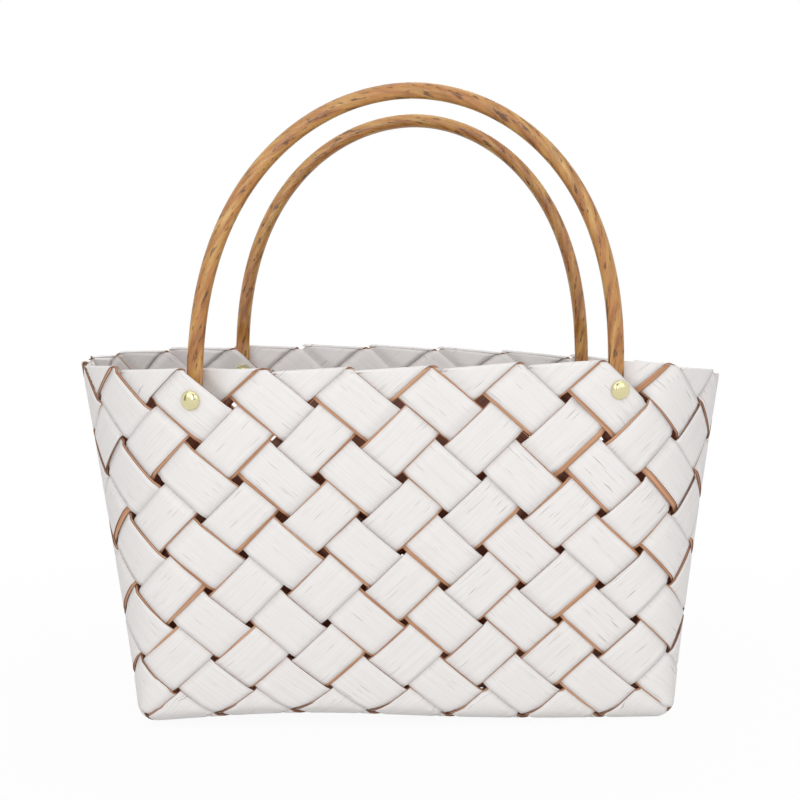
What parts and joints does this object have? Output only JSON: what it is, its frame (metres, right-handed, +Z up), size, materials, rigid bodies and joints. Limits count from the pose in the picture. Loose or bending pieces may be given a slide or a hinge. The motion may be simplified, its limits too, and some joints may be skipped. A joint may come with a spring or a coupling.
{
  "type": "woven flower bag",
  "caption": "Open tapered basket bag plaited on the bias from doubled white bark veneer strips, with two arched cane handles screwed between the plies at the rim.",
  "frame": {"origin": "on the floor under the middle of the base", "axes": "+Z up, +X along the wide side to the right as the front is seen, +Y from the front wall to the back wall"},
  "size_m": [0.301, 0.1714, 0.2818],
  "materials": {
    "painted_veneer": "white paint rubbed thin over bark veneer, natural brown on the cut edges and the ply behind",
    "handle_cane": "bent cane, flame marked, semi-gloss varnish",
    "brass_fastener": "pale gold plated, polished"
  },
  "bodies": {
    "basket": {"bias_strip_a_01": "painted_veneer", "bias_strip_a_02": "painted_veneer", "bias_strip_a_03": "painted_veneer", "bias_strip_a_04": "painted_veneer", "bias_strip_a_05": "painted_veneer", "bias_strip_a_06": "painted_veneer", "bias_strip_a_07": "painted_veneer", "bias_strip_a_08": "painted_veneer", "bias_strip_a_09": "painted_veneer", "bias_strip_a_10": "painted_veneer", "bias_strip_a_11": "painted_veneer", "bias_strip_b_01": "painted_veneer", "bias_strip_b_02": "painted_veneer", "bias_strip_b_03": "painted_veneer", "bias_strip_b_04": "painted_veneer", "bias_strip_b_05": "painted_veneer", "bias_strip_b_06": "painted_veneer", "bias_strip_b_07": "painted_veneer", "bias_strip_b_08": "painted_veneer", "bias_strip_b_09": "painted_veneer", "bias_strip_b_10": "painted_veneer", "bias_strip_b_11": "painted_veneer", "dome_screw_front_left": "brass_fastener", "washer_front_left": "brass_fastener", "nut_front_left": "brass_fastener", "dome_screw_front_right": "brass_fastener", "washer_front_right": "brass_fastener", "nut_front_right": "brass_fastener", "dome_screw_back_right": "brass_fastener", "washer_back_right": "brass_fastener", "nut_back_right": "brass_fastener", "dome_screw_back_left": "brass_fastener", "washer_back_left": "brass_fastener", "nut_back_left": "brass_fastener"},
    "front_handle": {"handle_front": "handle_cane"},
    "back_handle": {"handle_back": "handle_cane"}
  },
  "joints": [
    {"name": "front_handle_lean", "type": "hinge", "parent": "basket", "child": "front_handle", "pos_m": [0, -0.07658, 0.1495], "axis": [-0.9999, -0.0003, -0.0119], "range_deg": [0, 15]},
    {"name": "back_handle_lean", "type": "hinge", "parent": "basket", "child": "back_handle", "pos_m": [0, 0.07643, 0.14551], "axis": [0.9992, -0.0186, -0.0359], "range_deg": [0, 15]}
  ]
}
